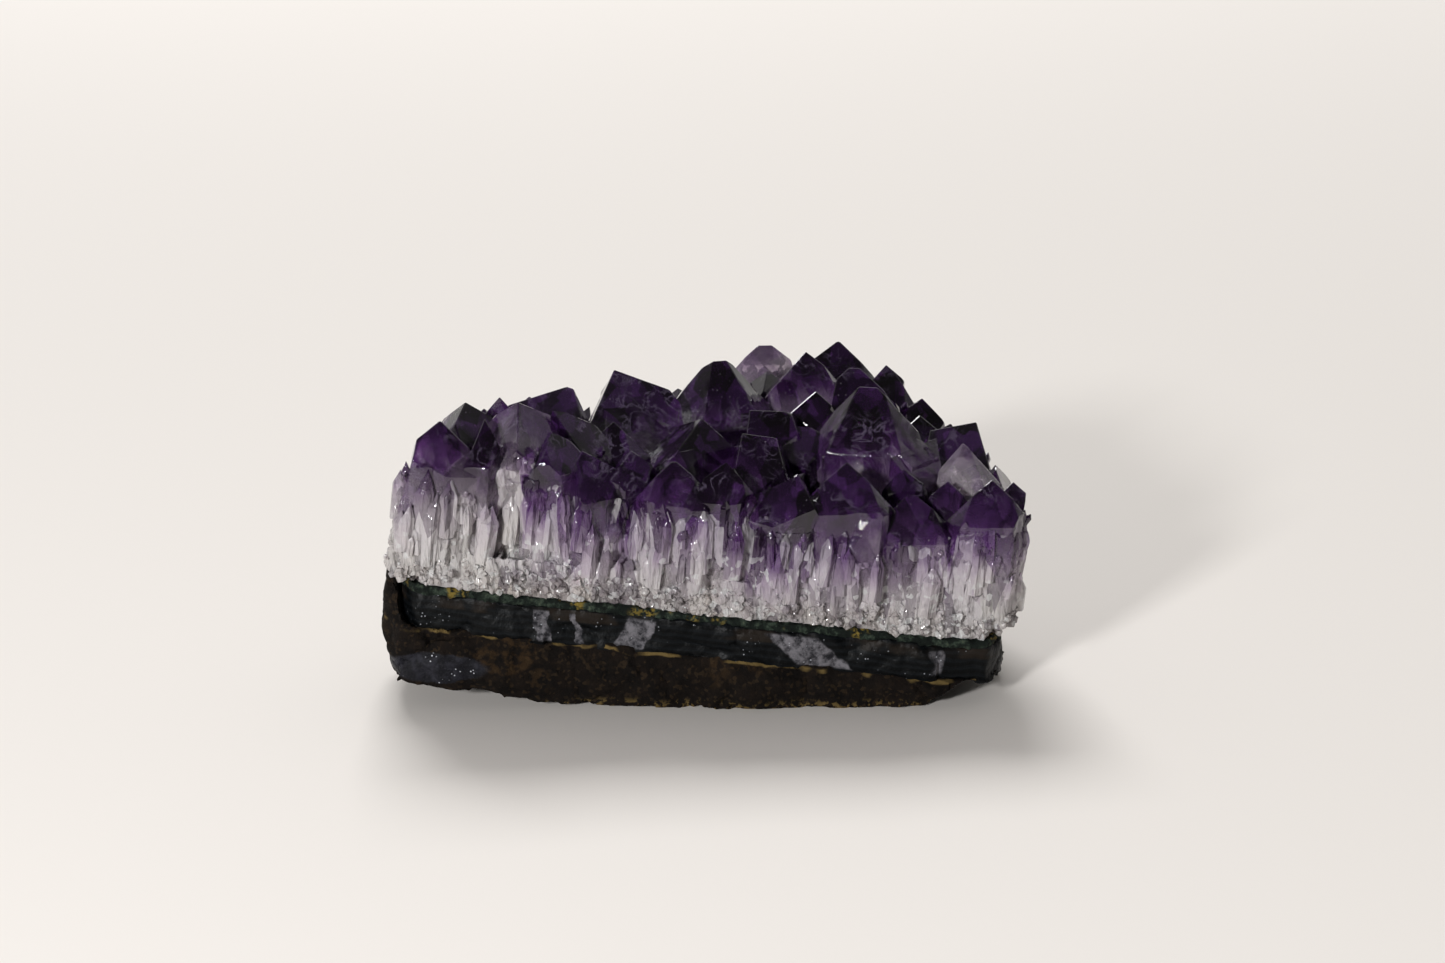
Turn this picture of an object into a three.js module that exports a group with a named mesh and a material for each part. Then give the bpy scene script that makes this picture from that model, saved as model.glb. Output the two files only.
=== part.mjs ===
// An amethyst cluster: a hand-sized block broken out of a geode wall.
// From the bottom up it is brown-black basalt, a band of chalcedony, a thin green seam of celadonite,
// a bed of milky quartz, and the amethyst points that grew from the bed.
// Millimetres, +Z up. The long broken face looks along -Y, and the block rests on a flat at Z = 0.
import * as THREE from "three";

// ---------------------------------------------------------------- driving dimensions

const LAYER_TILT = THREE.MathUtils.degToRad(6); // the layers fall towards +X
const SEAM_TOP = 15.1; // height of the quartz's underside at X = 0
const JOINT_GAP = 0.3; // between neighbouring pieces
const SEAM_THICKNESS = 1.1;
const CHALCEDONY_THICKNESS = 5.2;
const BED_THICKNESS = 6;
const LAYER_CENTRE = [0, 0];

// The block seen from above, anticlockwise from the front left corner.
const BLOCK_OUTLINE = [
  [-48.5, -27], [-46, -31], [-30, -32], [-12, -31.5], [6, -32.5], [22, -31.5], [36, -32], [45.5, -30.5],
  [48, -26], [48.6, -14], [47.5, -4], [45.5, 6], [42, 16], [37, 25], [29, 31], [15, 33.5], [1, 31],
  [-12, 25.5], [-24, 18], [-36, 9.5], [-44.5, -1], [-48.5, -13],
];

// The sides along which the block broke from its geode, which also cut the crystals: a point on each, the
// bearing it faces in degrees from +X towards +Y, and how many degrees it leans out as it rises.
const BROKEN_SIDES = [
  { through: [0, -32.4, 15], bearing: -90, leansOut: -1 },
  { through: [-50.4, -28, 20], bearing: 183, leansOut: -14 },
  { through: [48.6, -20, 12], bearing: -4, leansOut: 6 },
  { through: [45.5, 6, 12], bearing: 22, leansOut: 8 },
  { through: [33, 28, 12], bearing: 50, leansOut: 6 },
  { through: [8, 33, 14], bearing: 92, leansOut: 2 },
  { through: [-18, 22, 17], bearing: 125, leansOut: 4 },
  { through: [-42, 3, 19], bearing: 136, leansOut: -4 },
];

// Quartz grows as a six-sided prism under a six-sided point, of which every second face is larger.
const POINT_FACE_ANGLE = THREE.MathUtils.degToRad(51.8); // between the axis and the normal of a point's face
const ROOT_TAPER = THREE.MathUtils.degToRad(5); // a crystal widens as it grows away from the bed
const CRYSTAL_LENGTH = 60; // before it is cut at the bed

// Each crystal: its name; its tip; its width across flats; how far its axis leans towards +X and +Y for each
// mm it rises; the bearing of one large face of its point in degrees; how far out the three small faces
// stand, as a share of the width; and the length of the ridge that some have in place of a sharp tip.
// A later crystal is cut where it meets an earlier one.
const CRYSTALS = [
  ["great_point_centre", [2.2, 4, 47.3], 18, [0.02, 0], 110, 0.03, 2.2],
  ["great_point_right", [26.2, -12.5, 47.2], 14, [0.02, 0], -98, 0.02, 3.6],
  ["great_point_left", [-14.2, -2, 47.1], 18, [-0.22, 0.03], -62, 0.42, 1.6],
  ["tall_point_back_right", [16.5, 10, 47.2], 13.5, [0.04, 0.02], -72, 0.1, 0],
  ["tall_point_left", [-21.6, -10, 46.8], 14, [0.25, 0], -122, 0.24, 1],
  ["front_column_08", [22.2, -27, 39], 12.5, [0, -0.02], -92, 0.12, 1],
  ["front_column_03", [-28.8, -22.5, 47.4], 12.5, [-0.04, -0.12], -30, 0.2, 1.5],
  ["front_column_01", [-41, -27.5, 45.6], 9.5, [0.16, 0.02], -75, 0.14, 3],
  ["leaning_point_centre", [-1, -16, 43], 14, [0.2, -0.06], -58, 0.24, 0],
  ["dark_point_back_right", [22.6, 25, 44.9], 13, [0, 0.04], -100, 0.1, 4],
  ["pale_point_back", [10, 27, 43.8], 11.5, [0, 0.06], -85, 0.04, 4],
  ["right_point_01", [43.4, -8, 40], 12, [0.4, 0.03], -120, 0.26, 1],
  ["front_column_11", [44.8, -27, 36.1], 10, [0.04, -0.03], -90, 0.1, 1.5],
  ["front_column_09", [32.3, -27.5, 33.7], 10, [-0.02, -0.05], -88, 0.08, 3],
  ["front_column_07", [14.2, -28, 37], 10.5, [0.14, -0.04], -118, 0.3, 1.5],
  ["front_column_05", [-4.8, -28.3, 39.4], 9, [0.02, -0.04], -84, 0.1, 2],
  ["slanted_point_01", [3.4, -20, 42], 12, [-0.48, -0.1], -64, 0.2, 0],
  ["slanted_point_02", [7.6, -12.5, 43.4], 10.5, [-0.6, -0.1], -64, 0.16, 1],
  ["slanted_point_03", [12.6, -13.5, 41.2], 9.5, [-0.45, -0.1], -50, 0.14, 1],
  ["dark_point_centre", [17.8, -7, 44.9], 9.5, [0.08, 0.04], -82, 0.2, 1],
  ["grey_point_centre", [24.5, 7.5, 45], 13, [0.1, -0.1], -80, 0.1, 4],
  ["clear_point_right", [41.2, -17, 39], 8.5, [0.03, 0], -90, 0.02, 0],
  ["light_point_right", [32.2, -14, 41.4], 11, [0.06, 0.02], -42, 0.16, 1],
  ["front_column_02", [-36, -26.5, 45.2], 8.5, [0.04, -0.03], -96, 0.2, 1],
  ["front_column_04", [-24, -26, 43.8], 9, [-0.04, -0.03], -44, 0.14, 0],
  ["steep_point_left_01", [-21.8, -18.5, 44.8], 9.5, [-0.1, 0.02], -46, 0.16, 0],
  ["steep_point_left_02", [-14.6, -17, 42.7], 9, [-0.1, 0], -104, 0.1, 0],
  ["striped_point", [-19.2, -26, 40.6], 10, [-0.06, -0.04], -62, 0.3, 0],
  ["dark_column", [-11.4, -25, 40.3], 8.5, [0.04, -0.03], -64, 0.14, 0],
  ["front_column_06", [3.2, -28, 39.2], 8.5, [0.04, -0.04], -98, 0.14, 1],
  ["front_column_10", [38, -24, 35], 8.5, [0, 0], -94, 0.16, 1.5],
  ["right_point_02", [48.5, -21, 33.8], 8, [0.08, 0], -80, 0.2, 1.5],
  ["right_point_03", [35.2, 0, 38.9], 9.5, [0.06, 0.06], -80, 0.2, 1.5],
  ["broken_point_left", [-37.6, -18, 46.2], 9, [0, 0.02], -50, 0.24, 1],
  ["pale_point_left", [-32.6, -16.5, 46.4], 8.5, [0, 0.04], -100, 0.2, 2.5],
  ["shoulder_point_left", [-28.6, -7, 44], 10, [-0.04, 0.06], -90, 0.24, 2],
  ["purple_point_back_01", [28.6, 22, 43.5], 9, [0.1, 0.08], -75, 0.16, 2],
  ["purple_point_back_02", [31.6, 19, 41.2], 9, [0.16, 0.06], -110, 0.14, 1],
  ["pale_point_small", [5, 26, 42.2], 7.5, [-0.05, 0.1], -60, 0.16, 1],
  ["small_point_right", [31, -21, 36.2], 7.5, [-0.04, 0.02], -86, 0.2, 0],
  ["back_point_01", [-3.5, 17, 38.6], 12, [-0.06, 0.1], 40, 0.12, 1],
  ["back_point_02", [10.5, 17.5, 41.8], 10, [0, 0.08], 80, 0.14, 0],
  ["back_point_03", [-13.5, 12, 40.4], 12.5, [-0.08, 0.08], 60, 0.16, 1],
  ["back_point_04", [-25.5, 4, 41.4], 12.5, [-0.1, 0.08], 100, 0.14, 1],
  ["back_point_05", [-36, -6, 42], 12, [-0.12, 0.06], 125, 0.18, 1.5],
  ["back_point_06", [-40.5, -14.5, 40], 9.5, [0, 0.02], 150, 0.16, 1],
  ["back_point_07", [-5, 26, 36.6], 9.5, [-0.08, 0.12], 95, 0.14, 1],
  ["back_point_08", [41, 5, 36.2], 10, [0.12, 0.05], 10, 0.14, 1],
  ["back_point_09", [-20, 14, 36.4], 9, [-0.1, 0.12], 110, 0.2, 0],
  ["back_point_10", [16.8, 28.5, 40.6], 8.5, [0.02, 0.14], 75, 0.14, 1],
  ["back_point_11", [46.4, -11.5, 34.4], 8, [0.12, 0.02], -10, 0.18, 1],
  ["back_point_12", [36.4, 13.5, 38.2], 9, [0.14, 0.08], 30, 0.16, 1],
  ["back_point_13", [-33.5, 5.5, 37.6], 8.5, [-0.1, 0.12], 130, 0.16, 0],
];

const MATERIALS = {
  basalt: new THREE.MeshStandardMaterial({ color: 0x2b221b, roughness: 0.75, metalness: 0 }),
  chalcedony: new THREE.MeshStandardMaterial({ color: 0x24282e, roughness: 0.35, metalness: 0 }),
  celadonite: new THREE.MeshStandardMaterial({ color: 0x1f2a1e, roughness: 0.8, metalness: 0 }),
  milky_quartz: new THREE.MeshStandardMaterial({ color: 0xc9c2c4, roughness: 0.45, metalness: 0 }),
  amethyst: new THREE.MeshStandardMaterial({ color: 0x3a2350, roughness: 0.12, metalness: 0 }),
};

// ---------------------------------------------------------------- rock layers

// A repeatable number from 0 to 1 for each whole number.
function scatter(index) {
  const value = Math.sin(index * 127.1 + 11.7) * 43758.5453;
  return value - Math.floor(value);
}

// The outline with points about every step mm, each pushed in or out by up to roughness mm.
function brokenOutline(corners, step, roughness, seed) {
  const points = [];
  corners.forEach((corner, i) => {
    const from = new THREE.Vector2(...corner);
    const to = new THREE.Vector2(...corners[(i + 1) % corners.length]);
    const pieces = Math.max(1, Math.round(from.distanceTo(to) / step));
    for (let k = 0; k < pieces; k++) {
      const point = from.clone().lerp(to, k / pieces);
      const push = (scatter(seed + points.length) - 0.5) * 2 * roughness;
      points.push(point.setLength(point.length() + push));
    }
  });
  return points;
}

// A solid between two heights, each a function of x and y, over a stack of outlines from top to bottom.
// The outlines have equal numbers of points, and each face is filled by rings of the given scales.
const EVEN_RINGS = [0.25, 0.5, 0.75];
function layerSolid(outlines, topHeight, bottomHeight, rings = EVEN_RINGS) {
  const count = outlines[0].length;
  const positions = [];
  const index = [];
  const addRing = (outline, scale, height) => {
    outline.forEach((p) => positions.push(p.x * scale, p.y * scale, height(p.x * scale, p.y * scale)));
    return positions.length / 3 - count;
  };
  const join = (upper, lower) => {
    for (let i = 0; i < count; i++) {
      const j = (i + 1) % count;
      index.push(upper + i, lower + i, lower + j, upper + i, lower + j, upper + j);
    }
  };
  const fill = (centre, ring, flip) => {
    for (let i = 0; i < count; i++) {
      const j = (i + 1) % count;
      index.push(centre, ring + (flip ? j : i), ring + (flip ? i : j));
    }
  };
  positions.push(...LAYER_CENTRE, topHeight(...LAYER_CENTRE));
  let previous = addRing(outlines[0], rings[0], topHeight);
  fill(0, previous, false);
  const addNext = (outline, scale, height) => {
    const ring = addRing(outline, scale, height);
    join(previous, ring);
    previous = ring;
  };
  [...rings.slice(1), 1].forEach((scale) => addNext(outlines[0], scale, topHeight));
  outlines.slice(1).forEach((outline, k) => {
    const share = (k + 1) / (outlines.length - 1);
    addNext(outline, 1, (x, y) => THREE.MathUtils.lerp(topHeight(x, y), bottomHeight(x, y), share));
  });
  rings.toReversed().forEach((scale) => addNext(outlines.at(-1), scale, bottomHeight));
  positions.push(...LAYER_CENTRE, bottomHeight(...LAYER_CENTRE));
  fill(positions.length / 3 - 1, previous, true);
  return new THREE.BufferGeometry()
    .setAttribute("position", new THREE.Float32BufferAttribute(positions, 3))
    .setIndex(index);
}

// Heights in the block's own frame of a surface that lies at depth below the quartz's underside.
const layerHeight = (depth) => (x) => SEAM_TOP - depth / Math.cos(LAYER_TILT) - Math.tan(LAYER_TILT) * x;

// The rock's underside is flat in the middle. It rises to the left, and is chipped away on the right and
// along the back.
const LEFT_RISE = { start: -14, slope: 0.13 };
const RIGHT_CHIP = { start: 34.5, slope: 0.9, height: 3.4, runOut: 0.12 };
const BACK_CHIP = { start: 16, slope: 0.3 };
function rockUnderside(x, y) {
  const leftRise = (LEFT_RISE.start - x) * LEFT_RISE.slope;
  const pastChip = x - RIGHT_CHIP.start;
  const rightChip = Math.min(pastChip * RIGHT_CHIP.slope, RIGHT_CHIP.height + pastChip * RIGHT_CHIP.runOut);
  const backChip = (y - BACK_CHIP.start) * BACK_CHIP.slope;
  return Math.max(0, leftRise, rightChip, backChip);
}

const OUTLINE_STEP = 5;
const scaledOutline = (scale, roughness, seed, corners = BLOCK_OUTLINE) =>
  brokenOutline(corners, OUTLINE_STEP, roughness, seed).map((p) => p.multiplyScalar(scale));

function quartzBed() {
  const outlines = [scaledOutline(0.955, 0.6, 5), scaledOutline(0.965, 0.5, 60)];
  return layerSolid(outlines, layerHeight(-BED_THICKNESS), layerHeight(-JOINT_GAP / 2));
}

function celadoniteSeam() {
  const outline = scaledOutline(0.972, 0.3, 200);
  return layerSolid([outline, outline], layerHeight(JOINT_GAP / 2), layerHeight(SEAM_THICKNESS));
}

const CHALCEDONY_TOP = SEAM_THICKNESS + JOINT_GAP;
const CHALCEDONY_BOTTOM = CHALCEDONY_TOP + CHALCEDONY_THICKNESS;
function chalcedonyBand() {
  const outlines = [
    scaledOutline(0.972, 0.4, 300),
    scaledOutline(0.972, 0.5, 400),
    scaledOutline(0.972, 0.4, 500),
  ];
  return layerSolid(outlines, layerHeight(CHALCEDONY_TOP), layerHeight(CHALCEDONY_BOTTOM));
}

// At its left end the rock is thicker by a rind, which stands up outside the layers to a sharp edge.
const RIND = { thickness: 2.4, outsideOf: -45, innerX: -48.9, height: 12, centre: -24, halfLength: 13 };
const ROCK_OUTLINE = BLOCK_OUTLINE.map(([x, y]) => [x < RIND.outsideOf ? x - RIND.thickness : x, y]);
const ROCK_RINGS = [0.3, 0.65, 0.975];
function rockTop(x, y) {
  const underLayers = layerHeight(CHALCEDONY_BOTTOM + JOINT_GAP)(x);
  if (x > RIND.innerX) return underLayers;
  return underLayers + RIND.height * Math.max(0, 1 - Math.abs(y - RIND.centre) / RIND.halfLength);
}

function basaltBase() {
  const outlines = [
    scaledOutline(0.972, 0.4, 600, ROCK_OUTLINE),
    scaledOutline(1.0, 0.8, 700, ROCK_OUTLINE),
    scaledOutline(1.0, 0.8, 800, ROCK_OUTLINE),
    scaledOutline(0.98, 0.8, 900, ROCK_OUTLINE),
  ];
  return layerSolid(outlines, rockTop, rockUnderside, ROCK_RINGS);
}

// ---------------------------------------------------------------- crystals

// A convex solid is a list of flat faces, each a list of corners in order. Cutting it keeps what lies under
// the plane.
function cut(faces, plane) {
  const kept = [];
  const rim = [];
  for (const face of faces) {
    const corners = [];
    face.forEach((a, i) => {
      const b = face[(i + 1) % face.length];
      const da = plane.distanceToPoint(a);
      const db = plane.distanceToPoint(b);
      if (da <= 0) corners.push(a);
      if (da <= 0 !== db <= 0) {
        const crossing = a.clone().lerp(b, da / (da - db));
        corners.push(crossing);
        rim.push(crossing);
      }
    });
    if (corners.length > 2) kept.push(corners);
  }
  if (rim.length > 2) kept.push(around(rim, plane.normal));
  return kept;
}

// The points of a convex face in order round its outward normal, with those that coincide taken once.
const SAME_POINT = 1e-5;
function around(points, normal) {
  const centre = points.reduce((sum, p) => sum.add(p), new THREE.Vector3()).divideScalar(points.length);
  const across = new THREE.Vector3().subVectors(points[0], centre).projectOnPlane(normal).normalize();
  const up = new THREE.Vector3().crossVectors(normal, across);
  const angle = (p) => Math.atan2(p.clone().sub(centre).dot(up), p.clone().sub(centre).dot(across));
  const sorted = [...points].sort((a, b) => angle(a) - angle(b));
  return sorted.filter((p, i) => p.distanceTo(sorted[(i + 1) % sorted.length]) > SAME_POINT);
}

function boxFaces(half, centre) {
  const box = new THREE.BoxGeometry(2 * half, 2 * half, 2 * half).translate(...centre);
  const corner = (k) => new THREE.Vector3().fromBufferAttribute(box.getAttribute("position"), k);
  return [0, 4, 8, 12, 16, 20].map((first) => [0, 2, 3, 1].map((k) => corner(first + k)));
}

const solidWithin = (planes, centre) => planes.reduce(cut, boxFaces(CRYSTAL_LENGTH, centre));

function volumeOf(faces) {
  let volume = 0;
  for (const face of faces)
    for (let i = 2; i < face.length; i++)
      volume += face[0].dot(new THREE.Vector3().crossVectors(face[i - 1], face[i])) / 6;
  return volume;
}

function faceGeometry(faces) {
  const positions = faces.flatMap((face) =>
    face.slice(2).flatMap((_, i) => [face[0], face[i + 1], face[i + 2]].flatMap((p) => p.toArray())),
  );
  return new THREE.BufferGeometry().setAttribute("position", new THREE.Float32BufferAttribute(positions, 3));
}

// The twelve face planes of a quartz crystal. No face lies quite where its neighbours do, so that no two
// crystals have the same outline.
const PRISM_UNEVENNESS = 0.12;
const POINT_UNEVENNESS = 0.04;
function crystalPlanes([, tip, width, lean, bearing, standOut, ridge], number) {
  const axis = new THREE.Vector3(...lean, 1).normalize();
  const toAxis = new THREE.Quaternion().setFromUnitVectors(UP, axis);
  const facing = (degrees) => horizontal(degrees).applyQuaternion(toAxis);
  const ridgeWay = facing(bearing + 90);
  const planes = [];
  for (let k = 0; k < 6; k++) {
    const outward = facing(bearing + 60 * k);
    const alongRidge = k % 3 ? Math.sign(ridgeWay.dot(outward)) * (ridge / 2) : 0;
    const end = new THREE.Vector3(...tip).addScaledVector(ridgeWay, alongRidge);
    const reach = (width / 2) * (1 + PRISM_UNEVENNESS * (scatter(number * 12 + k) * 2 - 1));
    const shoulder = end.clone().addScaledVector(axis, -width / 2).addScaledVector(outward, reach);
    planes.push(planeThrough(shoulder, tilted(outward, axis, -ROOT_TAPER)));
    const slope = tilted(outward, axis, Math.PI / 2 - POINT_FACE_ANGLE);
    const standOff = width * ((k % 2) * standOut + POINT_UNEVENNESS * scatter(number * 12 + 6 + k));
    planes.push(planeThrough(end.addScaledVector(slope, standOff), slope));
  }
  const roof = Math.max(...solidWithin(planes, tip).flat().map((p) => p.z));
  return planes.map((plane) => plane.translate(new THREE.Vector3(0, 0, tip[2] - roof)));
}

const UP = new THREE.Vector3(0, 0, 1);
const horizontal = (degrees) =>
  new THREE.Vector3(1, 0, 0).applyAxisAngle(UP, THREE.MathUtils.degToRad(degrees));
const tilted = (outward, axis, angle) =>
  outward.clone().multiplyScalar(Math.cos(angle)).addScaledVector(axis, Math.sin(angle));
const planeThrough = (point, normal) => new THREE.Plane().setFromNormalAndCoplanarPoint(normal, point);

const bedTop = planeThrough(
  new THREE.Vector3(0, 0, SEAM_TOP + (BED_THICKNESS + JOINT_GAP) / Math.cos(LAYER_TILT)),
  new THREE.Vector3(-Math.sin(LAYER_TILT), 0, -Math.cos(LAYER_TILT)),
);
const brokenSides = BROKEN_SIDES.map(({ through, bearing, leansOut }) => {
  const normal = tilted(horizontal(bearing), UP, -THREE.MathUtils.degToRad(leansOut));
  return planeThrough(new THREE.Vector3(...through), normal);
});

// Each crystal in turn gives way to those already grown: it stops short of that face of its neighbour which
// costs it least.
const TOUCHING = 1e-3; // mm3
function growCrystals() {
  const grown = [];
  CRYSTALS.forEach((crystal, number) => {
    const [name, tip] = crystal;
    const bounds = [...crystalPlanes(crystal, number), bedTop, ...brokenSides];
    let faces = solidWithin(bounds, tip);
    for (const neighbour of grown) {
      const reach = neighbour.bounds.map((p) => new THREE.Plane(p.normal, p.constant - JOINT_GAP));
      if (volumeOf(reach.reduce(cut, faces)) < TOUCHING) continue;
      const ways = reach.map((p) => p.clone().negate()).map((plane) => ({ plane, left: cut(faces, plane) }));
      const best = ways.reduce((a, b) => (volumeOf(b.left) > volumeOf(a.left) ? b : a));
      faces = best.left;
      bounds.push(best.plane);
    }
    grown.push({ name, faces, bounds });
  });
  return grown;
}

// ---------------------------------------------------------------- the block

function addMesh(group, name, geometry, material) {
  const mesh = new THREE.Mesh(geometry, material);
  mesh.name = name;
  group.add(mesh);
}

const cluster = new THREE.Group();
addMesh(cluster, "basalt_base", basaltBase(), MATERIALS.basalt);
addMesh(cluster, "chalcedony_band", chalcedonyBand(), MATERIALS.chalcedony);
addMesh(cluster, "celadonite_seam", celadoniteSeam(), MATERIALS.celadonite);
addMesh(cluster, "milky_quartz_bed", quartzBed(), MATERIALS.milky_quartz);
for (const { name, faces } of growCrystals()) {
  addMesh(cluster, name, faceGeometry(faces), MATERIALS.amethyst);
}

// The frame's origin is under the middle of the whole block.
const extent = new THREE.Box3().setFromObject(cluster);
const middle = extent.getCenter(new THREE.Vector3());
cluster.position.set(-middle.x, -middle.y, -extent.min.z);

export default cluster;
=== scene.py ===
import itertools
import math

import bmesh
import bpy
import numpy as np
from mathutils import Matrix, Vector, noise


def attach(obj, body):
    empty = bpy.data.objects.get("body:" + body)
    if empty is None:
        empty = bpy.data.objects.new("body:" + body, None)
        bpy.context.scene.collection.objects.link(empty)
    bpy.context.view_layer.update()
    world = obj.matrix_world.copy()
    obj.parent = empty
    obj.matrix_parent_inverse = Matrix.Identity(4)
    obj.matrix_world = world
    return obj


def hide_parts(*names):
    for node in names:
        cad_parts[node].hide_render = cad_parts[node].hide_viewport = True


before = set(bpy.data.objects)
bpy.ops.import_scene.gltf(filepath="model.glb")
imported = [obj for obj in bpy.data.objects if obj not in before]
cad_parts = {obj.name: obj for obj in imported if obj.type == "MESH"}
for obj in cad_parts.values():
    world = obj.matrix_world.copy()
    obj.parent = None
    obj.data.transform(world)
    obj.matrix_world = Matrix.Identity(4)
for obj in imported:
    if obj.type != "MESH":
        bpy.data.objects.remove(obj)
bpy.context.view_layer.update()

MM = 0.001

# ---------------------------------------------------------------- sizes, in millimetres

LAYER_TILT = math.radians(6)  # the layers fall towards +X
LAYER_UP = Vector((math.sin(LAYER_TILT), 0, math.cos(LAYER_TILT)))
SEAM_TOP = 15.1  # height of the quartz's underside in the middle of the block
JOINT_GAP = 0.3  # between one CAD solid and the next
WELD = 1e-3  # vertices closer than this are one

CRYSTAL_SINK = 4  # how far a crystal's root goes down into the bed
GROWN_TOGETHER = 1.4  # how far a crystal goes into the neighbour that stopped it
EDGE_ROUND = 0.15  # width of the bevel along a crystal's edges
FACET_MESH = 1.3  # spacing of the cuts that divide a crystal's faces
FREE_LENGTH = 6.5  # of a crystal above the quartz it grew from
FREE_LENGTHS = {
    "great_point_right": 15,
    "great_point_centre": 14,
    "great_point_left": 13,
    "tall_point_left": 12,
    "tall_point_back_right": 13,
    "leaning_point_centre": 13,
    "striped_point": 11,
    "front_column_01": 10,
    "front_column_02": 12,
    "front_column_08": 14,
    "broken_point_left": 11,
}

# How milky a crystal is, from 0 for deep purple to 1 for white.
PALENESS = {
    "front_column_01": 0.2,
    "front_column_02": 0.05,
    "front_column_03": 0.28,
    "front_column_05": 0.1,
    "front_column_06": 0.08,
    "front_column_09": 0.15,
    "front_column_10": 0.18,
    "front_column_11": 0.12,
    "right_point_02": 0.25,
    "clear_point_right": 0.5,
    "light_point_right": 0.28,
    "pale_point_left": 0.22,
    "shoulder_point_left": 0.28,
    "pale_point_back": 0.5,
    "pale_point_small": 0.5,
    "tall_point_back_right": 0.15,
    "purple_point_back_01": 0.08,
    "purple_point_back_02": 0.08,
    "broken_point_left": 0.1,
}

CRYSTALS = sorted(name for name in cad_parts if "point" in name or "column" in name)


def free_length(crystal):
    return FREE_LENGTHS.get(crystal, FREE_LENGTH)


def paleness(crystal):
    return PALENESS.get(crystal, 0.0)


def clamp(value, low=0.0):
    """The value, but at least low and at most 1."""
    return min(max(value, low), 1.0)


# ---------------------------------------------------------------- node maths


class Signal:
    """A socket whose values can be added, multiplied and so on in Python."""

    def __init__(self, tree, socket):
        self.tree = tree
        self.socket = socket

    def _math(self, operation, *values):
        return self.tree.node("ShaderNodeMath", {"operation": operation}, *values)

    def __add__(self, other):
        return self._math("ADD", self, other)

    def __radd__(self, other):
        return self._math("ADD", other, self)

    def __sub__(self, other):
        return self._math("SUBTRACT", self, other)

    def __rsub__(self, other):
        return self._math("SUBTRACT", other, self)

    def __mul__(self, other):
        return self._math("MULTIPLY", self, other)

    def __rmul__(self, other):
        return self._math("MULTIPLY", other, self)

    def __truediv__(self, other):
        return self._math("DIVIDE", self, other)

    def __pow__(self, other):
        return self._math("POWER", self, other)

    def larger(self, other):
        return self._math("MAXIMUM", self, other)

    def clipped(self):
        return self._math("MINIMUM", self.larger(0), 1)

    def sine(self):
        return self._math("SINE", self)

    def size(self):
        return self._math("ABSOLUTE", self)

    def ease(self, start, end, low=0.0, high=1.0):
        """Goes smoothly from low at start to high at end."""
        return self.tree.node(
            "ShaderNodeMapRange",
            {"interpolation_type": "SMOOTHSTEP", "clamp": True},
            self, start, end, low, high,
        )

    def within(self, low, high, soft):
        """1 between low and high, fading to 0 over soft on either side."""
        return self.ease(low - soft, low) * self.ease(high + soft, high)


class NodeTree:
    """A node tree that is made from expressions."""

    def __init__(self, tree):
        self.tree = tree
        self.tree.nodes.clear()

    def node(self, kind, settings, *values, output=0, named=None):
        """A node with its settings, then its sockets' values or links in order or by name."""
        made = self.tree.nodes.new(kind)
        for key, value in settings.items():
            setattr(made, key, value)
        in_use = [socket for socket in made.inputs if socket.enabled]
        by_name = {socket.name: socket for socket in reversed(in_use)}
        for socket, value in itertools.chain(
            zip(in_use, values),
            ((by_name[key], value) for key, value in (named or {}).items()),
        ):
            if isinstance(value, Signal):
                self.tree.links.new(value.socket, socket)
            elif value is not None:
                socket.default_value = value
        if output is None:
            return made
        results = [socket for socket in made.outputs if socket.enabled]
        if isinstance(output, str):
            results = [socket for socket in results if socket.name == output]
            output = 0
        return Signal(self, results[output])

    def vector(self, operation, *values, scale=None):
        named = {} if scale is None else {"Scale": scale}
        return self.node("ShaderNodeVectorMath", {"operation": operation}, *values, named=named)

    def split(self, vector):
        parts = self.node("ShaderNodeSeparateXYZ", {}, vector, output=None)
        return [Signal(self, parts.outputs[k]) for k in range(3)]

    def combine(self, x, y, z):
        return self.node("ShaderNodeCombineXYZ", {}, x, y, z)


def height_over_seam(x, z):
    """Height of a place over the quartz's underside, square to the layers, in mm or as a Signal."""
    return z * math.cos(LAYER_TILT) + x * math.sin(LAYER_TILT) - SEAM_TOP * math.cos(LAYER_TILT)


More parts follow.
